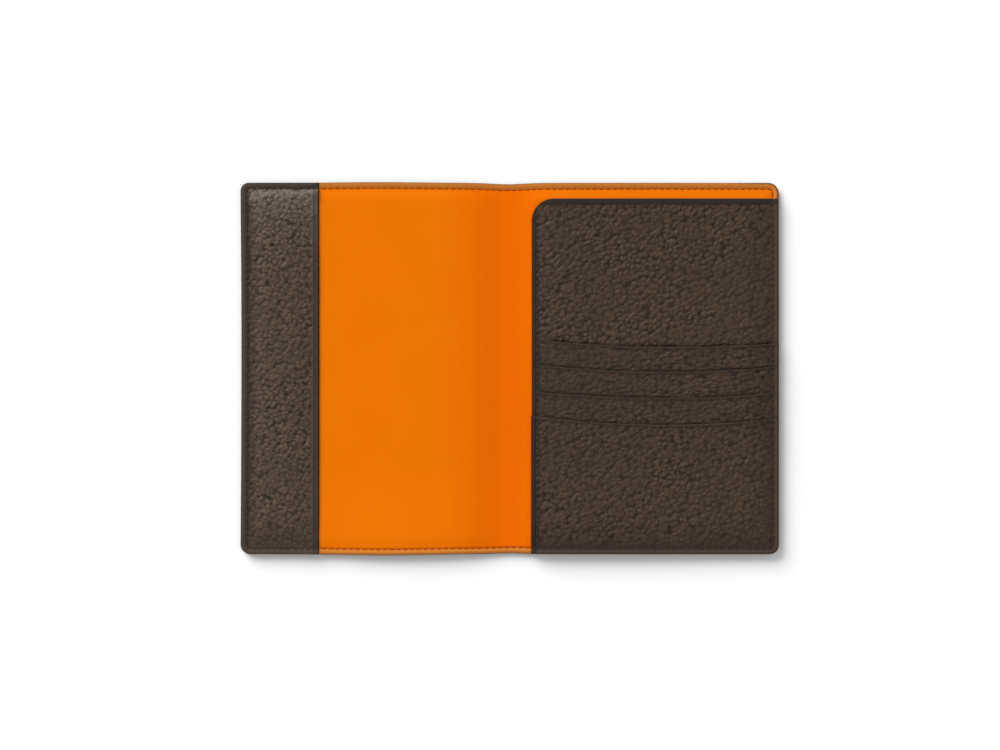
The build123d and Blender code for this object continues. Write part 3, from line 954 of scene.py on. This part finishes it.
def slot_lip(slot):
    """One leather lip with a curved mouth, over its tail that hides behind the next lip."""
    xs = pocket_columns()
    length = MOUTH_LOW[slot] - LIP_TAILS[slot]
    down = np.concatenate([FREE, np.linspace(FREE[-1], length, 38)[1:]])[::-1]
    x, v = np.meshgrid(xs, down)
    top_y = mouth(slot, x)
    y = top_y - v * (top_y - LIP_TAILS[slot]) / length
    below, left = top_y - y, x - PANEL_LEFT
    under = lip_under(slot, x, y)
    pebble = grain(x, y, LIP_GRAIN, 0.1, 1.5, 31 + slot)
    calm = (0.2 + 0.8 * smooth(1.4, 3.4, left)) * (0.3 + 0.7 * smooth(2.0, 3.4, HALF_WIDTH - x))
    calm = calm * (0.35 + 0.65 * smooth(0.6, 1.4, below))
    top = strip_top(x, y, under, LIP, top_y) - LIP_RELIEF * (1 - pebble) * calm
    top = top - mouth_dip(slot + 1, x, y)
    free = np.minimum(below, left)
    top, under = finish_edge(top, under, free, LIP)
    paint = np.maximum(lip_paint_and_shade(slot, x, y, free), rim_paint_and_shade(HALF_WIDTH - x))
    values = tone_values(0.93 * pebble, calm, 0.93 * 0.45, paint, rim_highlight(HALF_WIDTH - x))
    rows = sorted({*range(0, len(down), 6), len(down) - 1})
    piece = leather_sheet(f"lip_skin_{slot + 1}", (x, y), top, under, PANEL_LEATHER, values, rows)
    return attach(piece, "back_cover", [f"card_slot_{slot + 1}_lip"])


def slot_tongue(slot):
    """The cloth tongue behind a lip."""
    node = f"card_slot_{slot + 1}_tongue"
    low, high = corner(node, 0), corner(node, 1)
    xs, ys = lines(low[0], high[0], 2.0), lines(low[1], high[1], 2.0)
    x, y = np.meshgrid(xs, ys)
    level = slow_rise(panel_inset(x, y))
    bed = (PANEL_RIM_TOP + 0.02) * (1 - level) + (PANEL_Z + TONGUE * slot) * level
    bed = bed + 0.02 * noise(x / 9, y / 9, 60 + slot)
    back, top = bed + 0.03, bed + TONGUE - 0.03
    piece = leather_sheet(f"tongue_cloth_{slot + 1}", (x, y), top, back, TONGUE_FABRIC)
    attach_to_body(piece, "back_cover")
    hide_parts(node)
    return piece


def front_panel():
    """The large leather front of the lowest slot, from its curved mouth to the bottom seam."""
    slot = 3
    xs = pocket_columns()
    bottom = -HALF_HEIGHT + EDGE_GAP
    ys = lines(bottom, MOUTH_LOW[slot], FINE_STEP, SEWN, FREE)
    x, y = plan_grid(xs, ys, (0, COVER_RADII[1], 0, 0))
    top_y = mouth(slot, x)
    y = y + (top_y - MOUTH_LOW[slot]) * smooth(bottom + 8, MOUTH_LOW[slot], y)
    below, left, d = top_y - y, x - PANEL_LEFT, panel_inset(x, y)
    under = front_under(x, y)
    pebble = grain(x, y, FRONT_GRAIN, 0.4, 1.15, 37)
    calm = (0.2 + 0.8 * smooth(1.4, 3.4, left)) * (0.15 + 0.85 * smooth(2.0, 3.2, d))
    calm = calm * (0.35 + 0.65 * smooth(0.6, 1.6, below)) * (0.5 + 0.5 * smooth(2.5, 9.0, d))
    top = front_top(x, y) - 0.10 * (1 - smooth(0.0, 1.6, left)) - 0.08 + rim_crown(d)
    top = top + lip_swell(x, below)
    top = top + 0.06 * noise(x / 15, y / 12, 44) * smooth(3, 8, d) - FRONT_RELIEF * (1 - pebble) * calm
    free = np.minimum(below, left)
    top, under = finish_edge(top, under, free, FRONT)
    paint = np.maximum(lip_paint_and_shade(slot, x, y, free), rim_paint_and_shade(d))
    values = tone_values(pebble, calm, 0.42, paint, rim_highlight(d))
    rows = back_rows(ys, [bottom + v for v in SEWN_ROWS] + [-50, -40, -33, -29, -25])
    proud = 0.3 * (1 - smooth(0.0, 12.0, left))
    piece = leather_sheet("front_panel_skin", (x - proud, y), top, under, PANEL_LEATHER, values, rows)
    return attach(piece, "back_cover", ["card_slot_4_front"])


for side in (-1, 1):
    outer_half(side)
    lining_half(side)
    stiffener(side)
flap()
pocket_panel()
backing(
    "flap_lining_skin", "flap_backing", "front_cover", (-HALF_WIDTH + 0.2, FLAP_EDGE - 0.1),
    (-HALF_HEIGHT + 0.2, HALF_HEIGHT - 0.2), cover_radii(-1), flap_backing_under,
    lambda x, y: FLAP_EDGE - 0.1 - x,
)
backing(
    "panel_lining_skin", "pocket_backing", "back_cover", (PANEL_LEFT + 0.1, HALF_WIDTH - 0.2),
    (-HALF_HEIGHT + 0.2, PANEL_TOP - 0.1), (0, COVER_RADII[1], 0, PANEL_RADIUS), panel_backing_under,
    panel_free,
)
for slot in range(3):
    slot_lip(slot)
    slot_tongue(slot)
front_panel()


# ------------------------ edge paint and stitches


def cover_path(side, depth, step=0.5):
    """Points and outward directions round half of the outline, from its top middle to its bottom middle."""
    w, h = HALF_WIDTH - depth, HALF_HEIGHT - depth
    bottom_left, bottom_right, top_right, top_left = (r - depth for r in COVER_RADII)
    low, high = (bottom_right, top_right) if side > 0 else (bottom_left, top_left)
    turn = np.linspace(0, math.pi / 2, 14)
    s, c = np.sin(turn), np.cos(turn)
    top, bottom = np.arange(0, w - high, step), np.arange(0, w - low, step)[::-1]
    down = np.linspace(h - high, low - h, round(2 * h / step))[1:-1]
    x = np.concatenate([top, w - high + high * s, w + 0 * down, w - low + low * c, bottom])
    y = np.concatenate([h + 0 * top, h - high + high * c, down, low - h - low * s, -h + 0 * bottom])
    nx = np.concatenate([0 * top, s, 1 + 0 * down, c, 0 * bottom])
    ny = np.concatenate([1 + 0 * top, c, 0 * down, -s, -1 + 0 * bottom])
    return np.stack([side * x, y], 1), np.stack([side * nx, ny], 1)


def rim_height(x, y):
    """The top of the sewn layers at the very edge, all round the holder."""
    on_flap = 1 - smooth(FLAP_EDGE - 0.4, FLAP_EDGE + 0.1, x)
    on_panel = smooth(PANEL_LEFT - 0.1, PANEL_LEFT + 0.4, x)
    on_panel = on_panel * (1 - smooth(PANEL_TOP - 0.4, PANEL_TOP + 0.1, y))
    bare = OUTER_TOP + 0.5 + 0.38 * board_rise(x)
    z = bare + (FLAP_RIM_TOP - 0.12 - bare) * on_flap
    stack = PANEL_RIM_TOP - 0.10 + 0 * y
    for slot in range(3):
        lip = lip_under(slot, HALF_WIDTH - 0.3 + 0 * x, y) + 0.62 * LIP - 0.12
        stack = np.where(y < mouth(slot, HALF_WIDTH + 0 * x) - 0.1, np.maximum(stack, lip), stack)
    front = front_under(HALF_WIDTH - 0.2 + 0 * x, np.maximum(y, -66)) + 0.75 * FRONT - 0.12
    stack = np.where(y < mouth(3, HALF_WIDTH + 0 * x) - 0.1, np.maximum(stack, front), stack)
    return z + (stack - z) * on_panel


def edge_bead(side):
    """The painted edge round one half of the holder, as high as the layers that it seals."""
    name = half_name(side)
    path, out = cover_path(side, 0.0)
    high = rim_height(path[:, 0], path[:, 1])
    low = 0.10 + 0 * high
    angles = np.linspace(-math.pi / 2, math.pi / 2, 11)
    reach = BEAD_WIDTH * (np.abs(np.cos(angles)) ** 0.6 - 1)
    lift = np.sign(np.sin(angles)) * np.abs(np.sin(angles)) ** 0.7
    rings = []
    for o, l in zip(reach, lift):
        z = (high + low) / 2 + l * (high - low) / 2
        rings.append(np.column_stack([path + out * o, z]))
    deep = path - out * (BEAD_WIDTH + 0.1)
    rings.append(np.column_stack([deep, high - 0.08]))
    rings.insert(0, np.column_stack([deep, low + 0.08]))
    points = np.array(rings)
    count, length = points.shape[:2]
    index = np.arange(count * length).reshape(count, length)
    faces = grid_faces(index, flip=side > 0)
    seam = np.stack([index[-1, :-1], index[-1, 1:], index[0, 1:], index[0, :-1]], 1)
    faces += (seam[:, ::-1] if side > 0 else seam).tolist()
    ends = [index[:, 0].tolist(), index[::-1, -1].tolist()]
    faces += [e[::-1] for e in ends] if side > 0 else ends
    piece = new_piece(f"edge_paint_{name}", points.reshape(-1, 3), faces, EDGE_MATERIAL, sharp=80)
    bend(piece, side)
    return piece


def stitch_run(path, height, under=False):
    """The capsule points and faces of the stitches along one path."""
    steps = np.hypot(*np.diff(path, axis=0).T)
    s = np.concatenate([[0], np.cumsum(steps)])
    count = max(1, round(s[-1] / STITCH_PITCH))
    pitch = s[-1] / count
    along = np.linspace(0, 1, 9)
    around = np.linspace(0, 2 * math.pi, 8, endpoint=False)
    points, faces = [], []
    for k in range(count):
        at = pitch * (k + (1 - STITCH_SHARE) / 2 + STITCH_SHARE * along)
        px, py = np.interp(at, s, path[:, 0]), np.interp(at, s, path[:, 1])
        tx, ty = px[-1] - px[0], py[-1] - py[0]
        size = math.hypot(tx, ty)
        nx, ny = -ty / size, tx / size
        slant = STITCH_SLANT * (along - 0.5)
        px, py = px + nx * slant, py + ny * slant
        full = np.sqrt(np.maximum(1 - (2 * along - 1) ** 6, 0.02))
        sink = 0.22 * np.abs(2 * along - 1) ** 4
        z = height(px, py) + ((sink - 0.10) if under else (0.10 - sink))
        base = len(points)
        radius = THREAD_RADIUS * full[:, None]
        aside, up = radius * np.cos(around), 0.85 * radius * np.sin(around)
        rings = np.stack([px[:, None] + nx * aside, py[:, None] + ny * aside, z[:, None] + up], -1)
        points += rings.reshape(-1, 3).tolist()
        index = base + np.arange(len(along) * 8).reshape(len(along), 8)
        wrapped = np.concatenate([index, index[:, :1]], axis=1)
        faces += grid_faces(wrapped, flip=True)
        faces += [index[0].tolist(), index[-1][::-1].tolist()]
    return points, faces


def stitches(name, runs, bed, material, slot_name, nodes, place, under=False):
    """All the stitches of one seam as one piece, lying on a bed."""
    points, faces = [], []
    for path in runs:
        more, quads = stitch_run(np.asarray(path, float), bed, under)
        faces += [[v + len(points) for v in f] for f in quads]
        points += more
    piece = new_piece(name, points, faces, material, sharp=80)
    return attach(piece, place, nodes)


def stretch(side, keep, drift=lambda x, y: 0.0 * y):
    """The part of the perimeter seam on one half that keep(x, y) allows, moved outwards by drift(x, y)."""
    path, out = cover_path(side, SEAM_INSET, 0.4)
    path = path + out * drift(path[:, :1], path[:, 1:])
    on = keep(path[:, 0], path[:, 1])
    cuts = np.flatnonzero(np.diff(on.astype(int))) + 1
    return [p for p, o in zip(np.split(path, cuts), np.split(on, cuts)) if o[0] and len(p) > 4]


def visible_strip(x, y):
    """The seam's bed along the pocket: the highest leather that shows there."""
    z = panel_top(x, y)
    for slot in range(3):
        lip = strip_top(x, y, lip_under(slot, x, y), LIP, mouth(slot, x))
        z = np.where(y < mouth(slot, x), lip, z)
    return np.where(y < mouth(3, x), front_top(x, y), z)


for side in (-1, 1):
    edge_bead(side)
    whole = stretch(side, lambda x, y: np.ones(len(x), bool))
    stitches(
        f"outside_stitches_{half_name(side)}", whole, outer_under, DARK_THREAD, "dark_thread",
        skin_nodes("outside_thread", side), side, under=True,
    )
bare_front = stretch(-1, lambda x, y: x > FLAP_EDGE + 0.3)
bare_back = stretch(1, lambda x, y: (y > PANEL_TOP + 0.3) | (x < PANEL_LEFT - 0.3))
on_flap = stretch(-1, lambda x, y: x < FLAP_EDGE - 0.3, flap_drift)
on_pocket = stretch(1, lambda x, y: (y < PANEL_TOP - 0.6) & (x > PANEL_LEFT + 0.4))
edge_y = np.arange(PANEL_TOP - 5.0, -HALF_HEIGHT + 1.0, -0.4)
edge_run = np.column_stack([PANEL_LEFT + PANEL_SEAM + 0 * edge_y, edge_y])
orange = (lining_top, ORANGE_THREAD, "orange_thread")
dark_flap = (flap_top, DARK_THREAD, "dark_thread")
dark_pocket = (visible_strip, DARK_THREAD, "dark_thread")
stitches("lining_stitches_front", bare_front, *orange, ["lining_thread_front"], -1)
stitches("lining_stitches_back", bare_back, *orange, ["lining_thread_back", "lining_thread_spine"], 1)
stitches("flap_stitches", on_flap, *dark_flap, ["flap_thread"], "front_cover")
stitches("pocket_stitches", on_pocket, *dark_pocket, ["pocket_seam_thread"], "back_cover")
stitches("pocket_edge_stitches", [edge_run], *dark_pocket, ["pocket_edge_thread"], "back_cover")


# ------------------------ studio


# The key light: where it comes from, its strength, and its spread in degrees.
KEY_FROM = (-0.66, 0.80, 0.46)
KEY_STRENGTH = 5.4
KEY_SPREAD = 50
# The surrounding's strength at the horizon and overhead, and the heights between which it changes.
HORIZON_STRENGTH, SKY_STRENGTH = 0.8, 0.64
HORIZON_END, SKY_START = 0.05, 0.30
FLOOR_WHITE = 0.79
FLOOR_REACH = 30.0
FLOOR_GAP = 0.00002
# The camera in metres: its place, its lens and sensor in mm.
EYE = (-0.0038, -0.00245, 1.049)
LENS, SENSOR = 100.0, 36.0


def studio_floor():
    """A plain white floor."""
    mesh = bpy.data.meshes.new("floor")
    s = FLOOR_REACH
    mesh.from_pydata([(-s, -s, 0), (s, -s, 0), (s, s, 0), (-s, s, 0)], [], [(0, 1, 2, 3)])
    r = Recipe("floor_white", specular=0.0)
    r.shader.inputs["Base Color"].default_value = (*(FLOOR_WHITE,) * 3, 1)
    r.shader.inputs["Roughness"].default_value = 1.0
    mesh.materials.append(r.material)
    floor = bpy.data.objects.new("floor", mesh)
    bpy.context.scene.collection.objects.link(floor)
    floor.location.z = -FLOOR_GAP


def studio_light():
    """One wide soft key from the top left, and a white surrounding that's brighter near the horizon."""
    key = bpy.data.lights.new("key", "SUN")
    key.energy, key.angle = KEY_STRENGTH, math.radians(KEY_SPREAD)
    lamp = bpy.data.objects.new("key", key)
    lamp.rotation_euler = (-Vector(KEY_FROM)).to_track_quat("-Z", "Y").to_euler()
    bpy.context.scene.collection.objects.link(lamp)
    world = bpy.data.worlds.new("studio")
    world.use_nodes = True
    nodes, links = world.node_tree.nodes, world.node_tree.links
    direction = nodes.new("ShaderNodeTexCoord")
    parts = nodes.new("ShaderNodeSeparateXYZ")
    level = nodes.new("ShaderNodeMapRange")
    for socket, value in enumerate((HORIZON_END, SKY_START, HORIZON_STRENGTH, SKY_STRENGTH), start=1):
        level.inputs[socket].default_value = value
    links.new(direction.outputs["Generated"], parts.inputs[0])
    links.new(parts.outputs["Z"], level.inputs[0])
    links.new(level.outputs[0], nodes["Background"].inputs["Strength"])
    nodes["Background"].inputs["Color"].default_value = (1, 1, 1, 1)
    bpy.context.scene.world = world
    bpy.context.scene.view_settings.view_transform = "Standard"


def camera():
    """A long lens straight above the holder, a little left of its middle."""
    lens = bpy.data.cameras.new("camera")
    lens.lens, lens.sensor_width = LENS, SENSOR
    lens.clip_end = 100.0
    eye = bpy.data.objects.new("camera", lens)
    eye.location = EYE
    bpy.context.scene.collection.objects.link(eye)
    bpy.context.scene.camera = eye


studio_floor()
studio_light()
camera()
